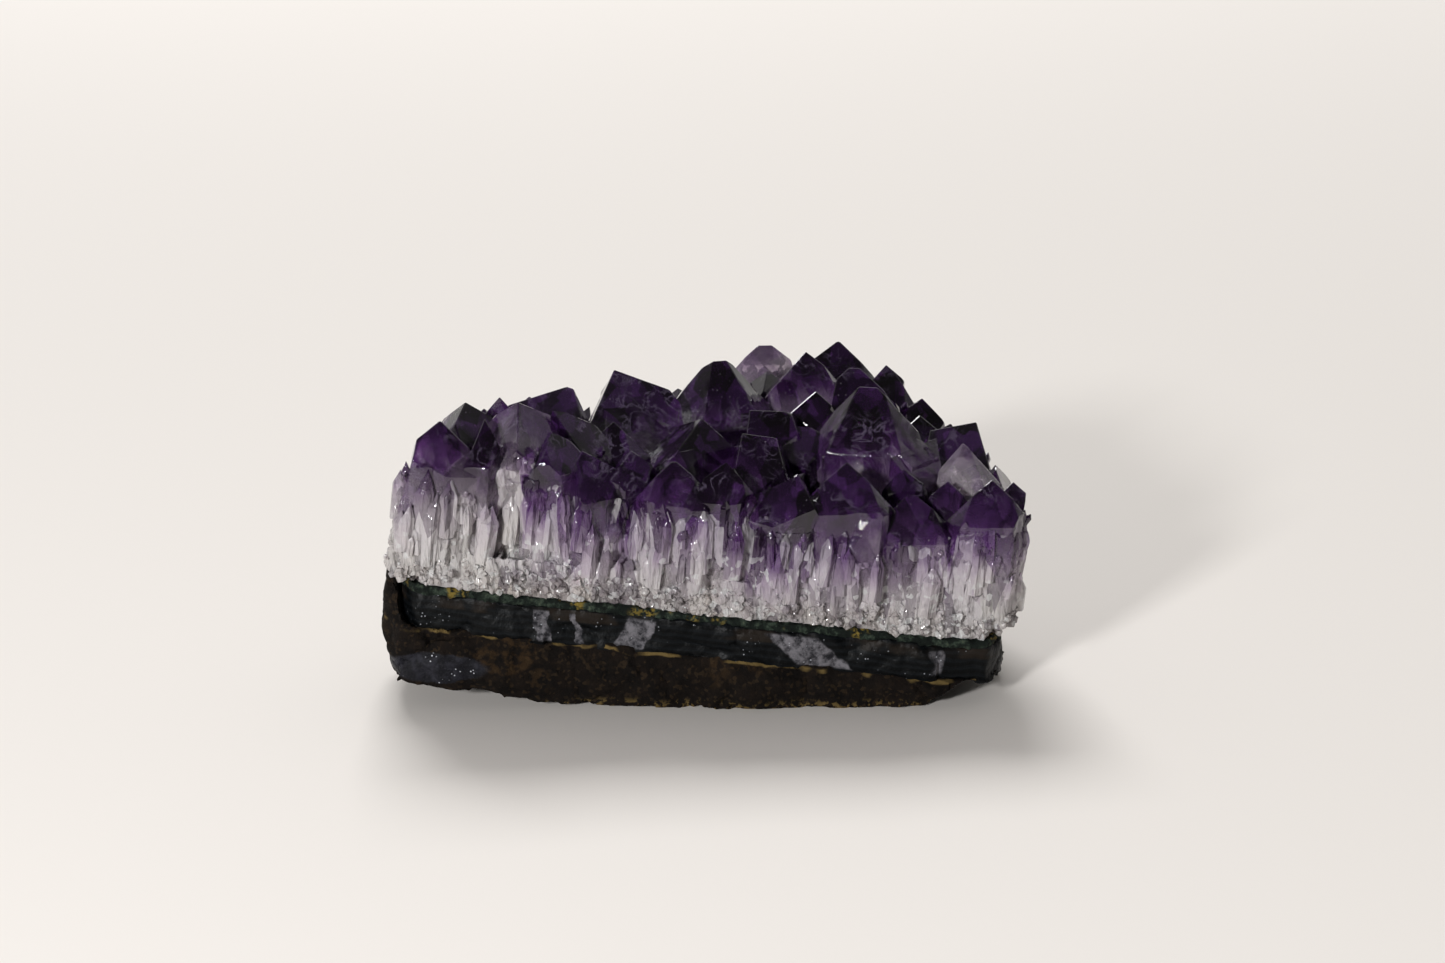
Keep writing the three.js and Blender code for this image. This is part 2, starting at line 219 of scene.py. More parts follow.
class Shader(NodeTree):
    """A material's nodes, which work in millimetres on the object's own coordinates."""

    def __init__(self, name):
        self.material = bpy.data.materials.new(name)
        self.material.use_nodes = True
        super().__init__(self.material.node_tree)
        place = self.node("ShaderNodeTexCoord", {}, output="Object")
        self.spot = self.vector("SCALE", place, scale=1 / MM)
        self.x, self.y, self.z = self.split(self.spot)
        self.height = height_over_seam(self.x, self.z)

    def stretched(self, across, up):
        """The spot, with patterns on it drawn out to the given shares across and up."""
        return self.combine(self.x / across, self.y / across, self.z / up)

    def noise(self, size, detail=3.0, roughness=0.5, distortion=0.0, at=None):
        """Cloudy values from 0 to 1, with clouds of about size mm."""
        named = {
            "Vector": at or self.spot,
            "Scale": 1 / size,
            "Detail": detail,
            "Roughness": roughness,
            "Distortion": distortion,
        }
        return self.node("ShaderNodeTexNoise", {}, named=named)

    def cells(self, size, feature="F1", output="Distance", at=None):
        """Cells of about size mm: the distance to each one's centre or edge, or its own colour."""
        named = {"Vector": at or self.spot, "Scale": 1 / size}
        return self.node("ShaderNodeTexVoronoi", {"feature": feature}, named=named, output=output)

    def shade_of_cell(self, size, at=None):
        """A value from 0 to 1 for each cell of about size mm."""
        return self.split(self.cells(size, output="Color", at=at))[0]

    def attribute(self, name):
        return self.node("ShaderNodeAttribute", {"attribute_name": name}, output="Fac")

    def mix(self, factor, a, b):
        """A colour that goes from a to b."""
        made = self.node("ShaderNodeMix", {"data_type": "RGBA"}, factor, output=None)
        for socket, value in zip([s for s in made.inputs if s.type == "RGBA"], (a, b)):
            if isinstance(value, Signal):
                self.tree.links.new(value.socket, socket)
            else:
                socket.default_value = (*value, 1)
        return Signal(self, next(s for s in made.outputs if s.type == "RGBA"))

    def ramp(self, value, *stops):
        """A colour for each value: stops of (position, colour), blended between."""
        made = self.node("ShaderNodeValToRGB", {}, value, output=None)
        elements = made.color_ramp.elements
        while len(elements) < len(stops):
            elements.new(1)
        for element, (position, colour) in zip(elements, stops):
            element.position = position
            element.color = (*colour, 1)
        return Signal(self, made.outputs[0])

    def bump(self, height, depth, below=None):
        """A normal from a height of 0 to 1 that stands for depth mm."""
        named = {"Strength": 1.0, "Distance": depth * MM, "Height": height, "Normal": below}
        return self.node("ShaderNodeBump", {}, named=named)

    def finish(self, **sockets):
        """The material, with a Principled shader whose sockets are given by name."""
        named = {key.replace("_", " "): value for key, value in sockets.items()}
        surface = self.node("ShaderNodeBsdfPrincipled", {}, named=named)
        self.node("ShaderNodeOutputMaterial", {}, surface, output=None)
        return self.material


def hue(text):
    """A colour in linear light from six hex digits."""
    shares = [int(text[k : k + 2], 16) / 255 for k in (0, 2, 4)]
    return tuple(s / 12.92 if s <= 0.04045 else ((s + 0.055) / 1.055) ** 2.4 for s in shares)


# ---------------------------------------------------------------- materials

WHITE_DEPTH = 26  # depth below a crystal's tip, in mm, where it has turned white


def growth_colour_and_painted_light(s, depth, pale):
    """Deep purple at the points, through lilac to milky quartz at the roots, with painted internal
    reflections and painted shade in patches near the points.
    """
    cloud = s.noise(6, 4, 0.6) - 0.5
    column = s.shade_of_cell(2.8, at=s.stretched(1, 5)) - 0.5
    zoned = s.ramp(
        ((depth + cloud * 10 + column * 5) / WHITE_DEPTH + pale).clipped(),
        (0.0, hue("1b0b22")),
        (0.22, hue("31163f")),
        (0.4, hue("6d4383")),
        (0.56, hue("b39dba")),
        (0.74, hue("e4dae1")),
        (1.0, hue("f2edea")),
    )
    near_tip = depth.ease(16, 6) * (1 - pale)
    # Painted internal reflections: cells near the point lit in lighter violet (the glow).
    reflection_cells = s.shade_of_cell(4.2, at=s.stretched(0.8, 1.3))
    small_reflection_cells = s.shade_of_cell(1.7, at=s.stretched(0.8, 1.2))
    glow = (reflection_cells.ease(0.5, 1.0) * 0.45 + small_reflection_cells.ease(0.75, 1.0) * 0.5) * near_tip
    lit = s.mix(glow, zoned, hue("683c84"))
    # Painted shade: near-black in other cells near the point.
    shadow = reflection_cells.ease(0.5, 0.1) * near_tip * 0.75
    return s.mix(shadow, lit, hue("0f060f"))


def veils(s, size):
    """Thin wispy sheets of healed cracks inside a crystal, from 0 to 1."""
    ridge = 1 - (s.noise(size, 3, 0.55, 1.2) * 2 - 1).size()
    return ridge.ease(0.9, 0.99)


def amethyst():
    s = Shader("amethyst")
    depth = s.attribute("tip_height") - s.z
    pale = s.attribute("pale")
    colour = growth_colour_and_painted_light(s, depth, pale)
    cloudy = s.noise(7, 2).ease(0.45, 0.65)
    colour = s.mix(veils(s, 3.5) * cloudy * 0.5, colour, hue("a797b8"))
    # Painted glints: tiny light specks scattered over the crystal.
    specks_and_glints = s.cells(0.9).ease(0.16, 0.06) * s.noise(5, 2).ease(0.55, 0.68)
    colour = s.mix(specks_and_glints * 0.8, colour, hue("d9cfe0"))
    growth_lines = s.noise(1.0, 4, 0.6, at=s.stretched(6, 0.35))
    uneven = s.bump(s.noise(3.0, 3, 0.5), 0.03)
    lined = s.bump(growth_lines, 0.02, uneven)
    rooted = depth.ease(6, 18)
    splintered = s.noise(1.0, 5, 0.65, at=s.stretched(0.8, 3.5))
    normal = s.bump(splintered * rooted, 0.9, lined)
    return s.finish(
        Base_Color=colour,
        Roughness=0.05 + rooted * 0.15,
        IOR=1.6,
        Transmission_Weight=0.7,
        Normal=normal,
    )


def milky_quartz():
    """The rough quartz below the points: glassy splinters above, sugary grains at the seam."""
    s = Shader("milky_quartz")
    depth = s.attribute("tip_height") - s.z
    colour = growth_colour_and_painted_light(s, depth, s.attribute("pale"))
    grains = s.mix(s.shade_of_cell(1.5), hue("cfc5c2"), hue("faf6f3"))
    warm = s.noise(9, 2).ease(0.45, 0.6)
    grains = s.mix(warm * 0.5, grains, hue("e6d9ca"))
    sugary = (s.height + s.noise(4, 3) * 10).ease(10.5, 5.5)
    colour = s.mix(sugary * 0.8, colour, grains)
    dirty = s.noise(4.5, 4, 0.6).ease(0.56, 0.7) * sugary
    # Dark grey at the seam: painted shade in the gaps between the grains, and dirty patches.
    between = s.cells(1.5, "DISTANCE_TO_EDGE").ease(0.07, 0.0) * sugary
    colour = s.mix((between * 0.4).larger(dirty * 0.5), colour, hue("6a5f60"))
    column = s.shade_of_cell(2.2, at=s.stretched(1, 4))
    colour = s.mix(column.ease(0.5, 1.0) * 0.6, colour, hue("4f3d56"))
    colour = s.mix(column.ease(0.5, 0.0) * 0.5, colour, hue("f8f4f6"))
    glints = s.shade_of_cell(0.9).ease(0.86, 0.94) * s.height.ease(13, 7)
    colour = s.mix(glints * 0.8, colour, hue("ffffff"))
    splinters = s.noise(1.0, 3, 0.5, at=s.stretched(1.9, 7))
    normal = s.bump(splinters, 1.8)
    normal = s.bump(s.shade_of_cell(1.0, at=s.stretched(1, 1.8)), 0.25, normal)
    return s.finish(
        Base_Color=colour,
        Roughness=s.noise(1.5, 2).ease(0.35, 0.65, 0.04, 0.2),
        IOR=1.55,
        Transmission_Weight=0.5,
        Normal=normal,
    )


def celadonite():
    """The fuzzy dark green mineral skin under the quartz."""
    s = Shader("celadonite")
    fuzz = s.noise(0.35, 4, 0.7)
    colour = s.ramp(
        s.noise(1.4, 5, 0.7),
        (0.3, hue("0c100e")),
        (0.5, hue("171e1a")),
        (0.62, hue("39443a")),
        (0.75, hue("5a5f4b")),
    )
    olive = s.noise(4.5, 2).ease(0.56, 0.66) * s.noise(0.8, 3).ease(0.45, 0.6)
    colour = s.mix(olive * 0.8, colour, hue("8a7636"))
    return s.finish(
        Base_Color=colour,
        Roughness=fuzz.ease(0.3, 0.7, 0.75, 0.98),
        Specular_IOR_Level=0.15,
        Normal=s.bump(fuzz, 0.35),
    )


# Where the chalcedony is broken to a frosty surface, in mm: middle and half width along X,
# and how far it shifts along X for each mm down.
FROSTED = ((-25.2, 1.3, 0.2), (-19.8, 0.6, 0.25), (-10.5, 2.5, -0.5), (16.5, 4.6, 1.1))
FROSTED_MIDDLE = -4  # height of the breaks' middles over the quartz's underside, in mm


def chalcedony():
    """Near-black banded agate, with frosty grey breaks."""
    s = Shader("chalcedony")
    wave = s.noise(7, 3) * 2.4
    banding = ((s.height + wave) * 5.2).sine() * 0.5 + 0.5
    fine_bands = ((s.height + wave) * 16).sine() * 0.5 + 0.5
    colour = s.ramp(
        banding * 0.6 + fine_bands * 0.25 + s.noise(2, 4) * 0.3,
        (0.2, hue("030405")),
        (0.6, hue("07090b")),
        (1.0, hue("101316")),
    )
    brown = s.height.within(-2.8, -1.4, 0.5) * s.noise(6, 2).ease(0.45, 0.6)
    colour = s.mix(brown * 0.5, colour, hue("2e261f"))
    frost = s.noise(8, 2).ease(0.62, 0.68)
    ragged = s.noise(2, 3) * 2.4 - 1.2
    at_front = s.y.ease(-18, -26)
    for middle, half, lean in FROSTED:
        shift = (s.height - FROSTED_MIDDLE) * lean
        off_middle = (s.x + ragged + shift - middle).size()
        frost = frost.larger(off_middle.ease(half, half * 0.8) * at_front)
    frost = frost * s.height.within(-6.2, -1.9, 0.5)
    frosty = s.mix(s.noise(1.5, 5, 0.65).ease(0.35, 0.65), hue("1d1d21"), hue("716f74"))
    colour = s.mix(frost, colour, frosty)
    sparks = s.cells(0.8).ease(0.2, 0.08) * s.noise(4, 2).ease(0.52, 0.62)
    colour = s.mix(sparks * 0.7, colour, hue("b9bcc4"))
    normal = s.bump(s.noise(1.5, 4, 0.55), 0.3)
    return s.finish(
        Base_Color=colour,
        Roughness=0.35 + frost * 0.25 + s.noise(3, 3) * 0.2,
        Specular_IOR_Level=0.12,
        Normal=normal,
    )


# Blots that go through the rock along Y, in mm: the middle, then the half size, in X and Z.
AGATE_LENS = ((-42, 6.6), (8.5, 2.8))
RUSTY = ((-31, 9.5), (5.5, 4.0))
YELLOW_VEIN = -6.9  # height of the vein over the quartz's underside, in mm


def basalt():
    """Dark brown rock with rusty and yellow weathering, and a lens of grey agate."""
    s = Shader("basalt")
    colour = s.ramp(
        s.noise(3.5, 6, 0.65),
        (0.25, hue("060505")),
        (0.45, hue("0f0b09")),
        (0.6, hue("17110d")),
        (0.8, hue("261c13")),
    )
    fleck = s.shade_of_cell(0.5).ease(0.75, 1.0) * 0.35
    colour = s.mix(fleck, colour, hue("3f3223"))

    def blot(place):
        (x, z), (half_x, half_z) = place
        ragged = s.noise(2.5, 4, 0.6) * 0.7 - 0.35
        across = ((s.x - x) / half_x) ** 2
        upward = ((s.z - z) / half_z) ** 2
        return (across + upward + ragged).ease(1.0, 0.72)

    rusty = blot(RUSTY) * s.noise(1.8, 4, 0.6).ease(0.42, 0.62)
    rusty = rusty.larger(s.noise(11, 3).ease(0.6, 0.7) * s.noise(1.5, 3).ease(0.45, 0.6) * 0.7)
    colour = s.mix(rusty * 0.4, colour, hue("46341f"))
    off_vein = s.height - YELLOW_VEIN + s.noise(5, 3) * 2 - 1
    vein = off_vein.size().ease(0.45, 0.15) * s.noise(6, 2).ease(0.46, 0.56)
    rim = s.z.ease(1.8, 0.4) * s.noise(1.1, 4, 0.6).ease(0.52, 0.6)
    colour = s.mix(vein.larger(rim * 0.8) * 0.7, colour, hue("7d6940"))
    lens = blot(AGATE_LENS)
    agate = s.mix(s.noise(1.6, 3).ease(0.4, 0.7), hue("15151a"), hue("2a2a31"))
    specks_and_glints = s.cells(0.7).ease(0.24, 0.1) * s.noise(2.6, 2).ease(0.54, 0.6)
    agate = s.mix(specks_and_glints, agate, hue("c9ccd4"))
    colour = s.mix(lens, colour, agate)
    rough = s.bump(s.noise(1.6, 6, 0.65), 0.6)
    return s.finish(
        Base_Color=colour,
        Roughness=0.85 - lens * 0.5,
        Specular_IOR_Level=0.12,
        Normal=rough,
    )


AMETHYST = amethyst()
QUARTZ = milky_quartz()
CELADONITE = celadonite()
CHALCEDONY = chalcedony()
BASALT = basalt()


# ---------------------------------------------------------------- meshes


def piece(name, mesh, material, slot, *nodes):
    """A shown object from a mesh in mm, in one material, that stands for any CAD nodes given."""
    mesh.transform(Matrix.Scale(MM, 4))
    mesh.materials.clear()
    mesh.materials.append(material)
    made = bpy.data.objects.new(name, mesh)
    bpy.context.scene.collection.objects.link(made)
    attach(made, "root")
    if nodes:
        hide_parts(*nodes)


def merged(node):
    """A node's mesh with its loose triangles joined, in mm, as a bmesh."""
    work = bmesh.new()
    work.from_mesh(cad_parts[node].data)
    bmesh.ops.scale(work, vec=(1 / MM,) * 3, verts=work.verts)
    bmesh.ops.remove_doubles(work, verts=work.verts, dist=WELD)
    return work


def as_mesh(work, name):
    """The mesh of a bmesh, which is freed."""
    mesh = bpy.data.meshes.new(name)
    work.to_mesh(mesh)
    work.free()
    return mesh


def fattened(work, thickness):
    """Moves every face of a bmesh out by thickness."""
    work.normal_update()
    moves = [v.normal * (thickness * min(v.calc_shell_factor(), 2)) for v in work.verts]
    for vertex, move in zip(work.verts, moves):
        vertex.co += move
    return work


def evaluated(name, mesh, add_modifier):
    """The mesh with a modifier applied."""
    holder = bpy.data.objects.new(name, mesh)
    bpy.context.scene.collection.objects.link(holder)
    add_modifier(holder.modifiers)
    depsgraph = bpy.context.evaluated_depsgraph_get()
    result = bpy.data.meshes.new_from_object(holder.evaluated_get(depsgraph))
    bpy.data.objects.remove(holder)
    result.name = name
    return result


def even_mesh(mesh, grid):
    """The outside of a mesh as even faces of about grid mm, with all its bodies joined."""

    def add(modifiers):
        remesh = modifiers.new("even", "REMESH")
        remesh.mode = "VOXEL"
        remesh.voxel_size = grid

    return evaluated(mesh.name, mesh, add)


def thinned(mesh, share):
    """The mesh with about that share of its faces, fewest where it is flat."""

    def add(modifiers):
        modifiers.new("thinned", "DECIMATE").ratio = share

    return evaluated(mesh.name, mesh, add)


def smoothed(mesh, sharpest):
    """Shades a mesh smooth except across edges of more than sharpest degrees."""
    mesh.shade_smooth()
    mesh.set_sharp_from_angle(angle=math.radians(sharpest))
    return mesh


def rows_of(items, key):
    """A vector of each of a mesh's items, as rows."""
    rows = np.empty(len(items) * 3)
    items.foreach_get(key, rows)
    return rows.reshape(-1, 3)


def places_of(mesh):
    return rows_of(mesh.vertices, "co")


def normals_of(mesh):
    return rows_of(mesh.vertex_normals, "vector")


def pushed(mesh, offsets):
    """Moves each vertex along its normal, and none below the ground."""
    rows = places_of(mesh) + normals_of(mesh) * np.asarray(offsets)[:, None]
    rows[:, 2] = np.maximum(rows[:, 2], 0)
    mesh.vertices.foreach_set("co", rows.ravel())
    mesh.update()


def store(mesh, name, values):
    layer = mesh.attributes.new(name, "FLOAT", "POINT")
    layer.data.foreach_set("value", np.asarray(values, dtype=np.float32))


# A broken surface's cells, in levels and in shares of a cell's size.
CELL_STEP = 0.5  # the most that a cell's level is off the middle
CELL_SLANT = 1.6
GROOVE_DEPTH = 0.45
GROOVE_WIDTH = 0.22


def broken(place, size, drawn_out=1.0):
    """A broken surface's level from about -1 to 1: cells of size mm with their own level and slant."""
    spot = Vector((place[0], place[1], place[2] / drawn_out)) / size
    distances, centres = noise.voronoi(spot)
    centre = centres[0]
    slant = noise.cell_vector(centre * 5.3) - Vector((0.5, 0.5, 0.5))
    level = CELL_STEP * noise.cell(centre * 3.7)
    groove = 1 - min(1, (distances[1] - distances[0]) / GROOVE_WIDTH)
    return level + CELL_SLANT * (spot - centre).dot(slant) - GROOVE_DEPTH * groove


def rough(place, size, octaves):
    """Rough values from about -1 to 1, with lumps of about size mm."""
    return noise.fractal(Vector(place) / size, 0.9, 2.1, octaves)


# ---------------------------------------------------------------- crystals

ONE_FACE = 0.9998  # least cosine between the normals of one flat face
FACE_STEP = 0.02  # parallel faces nearer to each other than this are one
SLIVER = 1e-4  # faces of a smaller area, in square mm, are left out
PARALLEL = 0.9999  # least cosine between directions that count as parallel
ROUNDING = 1e-6


def flat_faces(node):
    """The planes of a node's flat faces, as rows of outward normal and distance from the origin."""
    work = merged(node)
    rows = []
    for face in work.faces:
        if face.calc_area() < SLIVER:
            continue
        normal = np.array(face.normal)
        row = np.array([*normal, normal @ np.array(face.verts[0].co)])
        is_new = all(
            row[:3] @ other[:3] < ONE_FACE or abs(row[3] - other[3]) > FACE_STEP for other in rows
        )
        if is_new:
            rows.append(row)
    work.free()
    return np.array(rows)


def corners_within(planes):
    """The corners of the convex solid under all the planes."""
    triples = np.array(list(itertools.combinations(range(len(planes)), 3)))
    normals = planes[triples, :3]
    solvable = np.abs(np.linalg.det(normals)) > ROUNDING
    corners = np.linalg.solve(normals[solvable], planes[triples[solvable], 3][..., None])[..., 0]
    inside = (corners @ planes[:, :3].T <= planes[:, 3] + ROUNDING).all(axis=1)
    return corners[inside]


def hull_within(planes):
    """The convex solid under all the planes, as a bmesh."""
    work = bmesh.new()
    for corner in corners_within(planes):
        work.verts.new(corner)
    bmesh.ops.remove_doubles(work, verts=work.verts, dist=WELD)
    bmesh.ops.convex_hull(work, input=work.verts)
    bmesh.ops.dissolve_limit(
        work, angle_limit=math.radians(0.5), verts=work.verts, edges=work.edges
    )
    return work


def grown_planes():
    """Each crystal's planes, moved out where it was stopped by a neighbour, and down into the bed."""
    own = {name: flat_faces(name) for name in CRYSTALS}
    everyone = np.vstack(list(own.values()))
    down = -np.array(LAYER_UP)
    grown = {}
    for name, planes in own.items():
        facing = planes[:, :3] @ everyone[:, :3].T < -PARALLEL
        gap = -everyone[:, 3][None, :] - planes[:, 3][:, None]
        stopped = (facing & (abs(gap - JOINT_GAP) < JOINT_GAP / 3)).any(axis=1)
        foot = planes[:, :3] @ down > PARALLEL
        moved = planes.copy()
        moved[:, 3] += stopped * GROWN_TOGETHER + foot * CRYSTAL_SINK
        grown[name] = moved
    return grown


def divided(work, step):
    """Cuts a bmesh's faces along planes step mm apart in X, Y and Z."""
    for axis in range(3):
        across = Vector((axis == 0, axis == 1, axis == 2))
        reach = [vertex.co[axis] / step for vertex in work.verts]
        for k in range(math.ceil(min(reach)), math.floor(max(reach)) + 1):
            everything = [*work.verts, *work.edges, *work.faces]
            bmesh.ops.bisect_plane(
                work, geom=everything, dist=1e-4, plane_co=across * (k * step), plane_no=across
            )
    bmesh.ops.triangulate(work, faces=work.faces)


SPLINTER = 3.1  # width of the upright splinters that the quartz breaks into
SPLINTER_LENGTH = 3.6  # their length over their width
ROOT_DEPTH = 3  # below the tip, where a crystal starts to be splintered
ROOT_FADE = 6  # from there to where it is fully splintered
ROOT_RELIEF = 0.5
FACE_RIPPLE = 0.02


def crystal_mesh(name, planes, top):
    """A crystal's faces with softened edges, flat at its point and splintered at its root."""
    work = hull_within(planes)
    bmesh.ops.bevel(
        work, geom=list(work.edges), offset=EDGE_ROUND, segments=1, profile=0.5,
        affect="EDGES", clamp_overlap=True,
    )
    divided(work, FACET_MESH)
    bmesh.ops.recalc_face_normals(work, faces=work.faces)
    mesh = as_mesh(work, name)
    places = places_of(mesh)
    depth = top - places[:, 2]
    offsets = []
    for place, below in zip(places, depth):
        splintered = clamp((below - ROOT_DEPTH) / ROOT_FADE) * ROOT_RELIEF
        splinters = broken(place, SPLINTER, SPLINTER_LENGTH)
        offsets.append(splintered * splinters + FACE_RIPPLE * rough(place, 3.5, 2))
    pushed(mesh, offsets)
    store(mesh, "tip_height", np.full(len(places), top))
    store(mesh, "pale", np.full(len(places), paleness(name)))
    return smoothed(mesh, sharpest=22)


def make_crystals(planes_of, tops):
    for name, planes in planes_of.items():
        piece("crystal_" + name, crystal_mesh(name, planes, tops[name]), AMETHYST, "amethyst", name)


# ---------------------------------------------------------------- the quartz that they grew from

BED_COVER = 0.4  # how far the rough quartz stands out round a crystal's lower part
BED_MESH = 0.5
SPLINTER_RELIEF = 1.15
CHIP = 1.1  # size of the chips on the splinters
CHIP_RELIEF = 0.3
GRAIN = 1.6  # size of the sugary grains at the seam
GRAIN_RELIEF = 0.55
SUGARY_HEIGHT = 5  # over the seam, up to which the quartz is sugary
SWELL = 0.25  # of slow waves over all of it
TUCKED_IN = 0.75  # how far it draws back at its top, where a crystal comes out of it


def rough_quartz(planes_of, tops):
    """The bed and the lower part of every crystal, as one rough body."""
    work = fattened(merged("milky_quartz_bed"), JOINT_GAP / 2)
    lower = {}
    for name, planes in planes_of.items():
        cut = tops[name] - free_length(name)
        covering = planes + np.array([0, 0, 0, BED_COVER])
        lower[name] = np.vstack([covering, [0, 0, 1, cut]])
        if len(corners_within(lower[name])) > 3:
            part = as_mesh(hull_within(lower[name]), name)
            work.from_mesh(part)
            bpy.data.meshes.remove(part)
    bmesh.ops.triangulate(work, faces=work.faces)
    bmesh.ops.recalc_face_normals(work, faces=work.faces)
    mesh = even_mesh(as_mesh(work, "quartz_bed"), BED_MESH)

    places = places_of(mesh)
    names = list(lower)
    outside = np.stack([(places @ lower[n][:, :3].T - lower[n][:, 3]).max(axis=1) for n in names])
    nearest = outside.argmin(axis=0)
    tip_height = np.array([tops[n] for n in names])[nearest]
    free = np.array([free_length(n) for n in names])[nearest]
    pale = np.array([paleness(n) for n in names])[nearest]
    under_top = tip_height - free - places[:, 2]
    height = height_over_seam(places[:, 0], places[:, 2])

    offsets = []
    for place, under, over in zip(places, under_top, height):
        splinters = SPLINTER_RELIEF * broken(place, SPLINTER, SPLINTER_LENGTH)
        chips = CHIP_RELIEF * broken(place, CHIP, 2.2)
        grains = GRAIN_RELIEF * broken(place, GRAIN)
        sugary = clamp((SUGARY_HEIGHT + 2.5 * rough(place, 5, 2) - over) / 2.5)
        lumps = (1 - sugary) * (splinters + chips) + sugary * grains
        calm = clamp((over + 0.2) / 0.8, low=0.25)
        tucked = TUCKED_IN * (1 - clamp(under / 3))
        offsets.append(calm * (lumps + SWELL * rough(place, 6, 2)) - tucked)
    pushed(mesh, offsets)
    store(mesh, "tip_height", tip_height)
    store(mesh, "pale", pale)
    return mesh


# ---------------------------------------------------------------- rock layers


def layer_mesh(name, node, grid, swell, relief):
    """A layer's mesh of about grid mm, swollen to its neighbours and broken by relief(place) mm."""
    mesh = even_mesh(as_mesh(fattened(merged(node), swell), name), grid)
    pushed(mesh, [relief(place) for place in places_of(mesh)])
    return smoothed(mesh, sharpest=35)


def seam_relief(place):
    """How far the seam stands out at a place, in mm: fine lumps on slow waves."""
    return 0.12 + 0.3 * rough(place, 1.0, 3) + 0.15 * rough(place, 5, 2)


def agate_relief(place):
    """How far the chalcedony stands out at a place: large smooth breaks."""
    return 0.1 + 0.45 * broken(place, 6) + 0.15 * rough(place, 2, 3)


def rock_relief(place):
    """How far the rock stands out at a place: large and small breaks, and grit."""
    return 0.55 * broken(place, 9) + 0.3 * broken(place, 3.2) + 0.12 * rough(place, 1.2, 3)


def make_layers():
    seam = layer_mesh(
        "green_seam", "celadonite_seam", grid=0.45, swell=0.2, relief=seam_relief
    )
    seam = thinned(seam, share=0.8)
    piece("green_seam", seam, CELADONITE, "celadonite", "celadonite_seam")
    agate = layer_mesh(
        "banded_chalcedony", "chalcedony_band", grid=0.55, swell=0.35, relief=agate_relief
    )
    piece("banded_chalcedony", agate, CHALCEDONY, "chalcedony", "chalcedony_band")
    rock = layer_mesh("rock", "basalt_base", grid=0.6, swell=0.5, relief=rock_relief)
    piece("rock", rock, BASALT, "basalt", "basalt_base")


# ---------------------------------------------------------------- small crystals


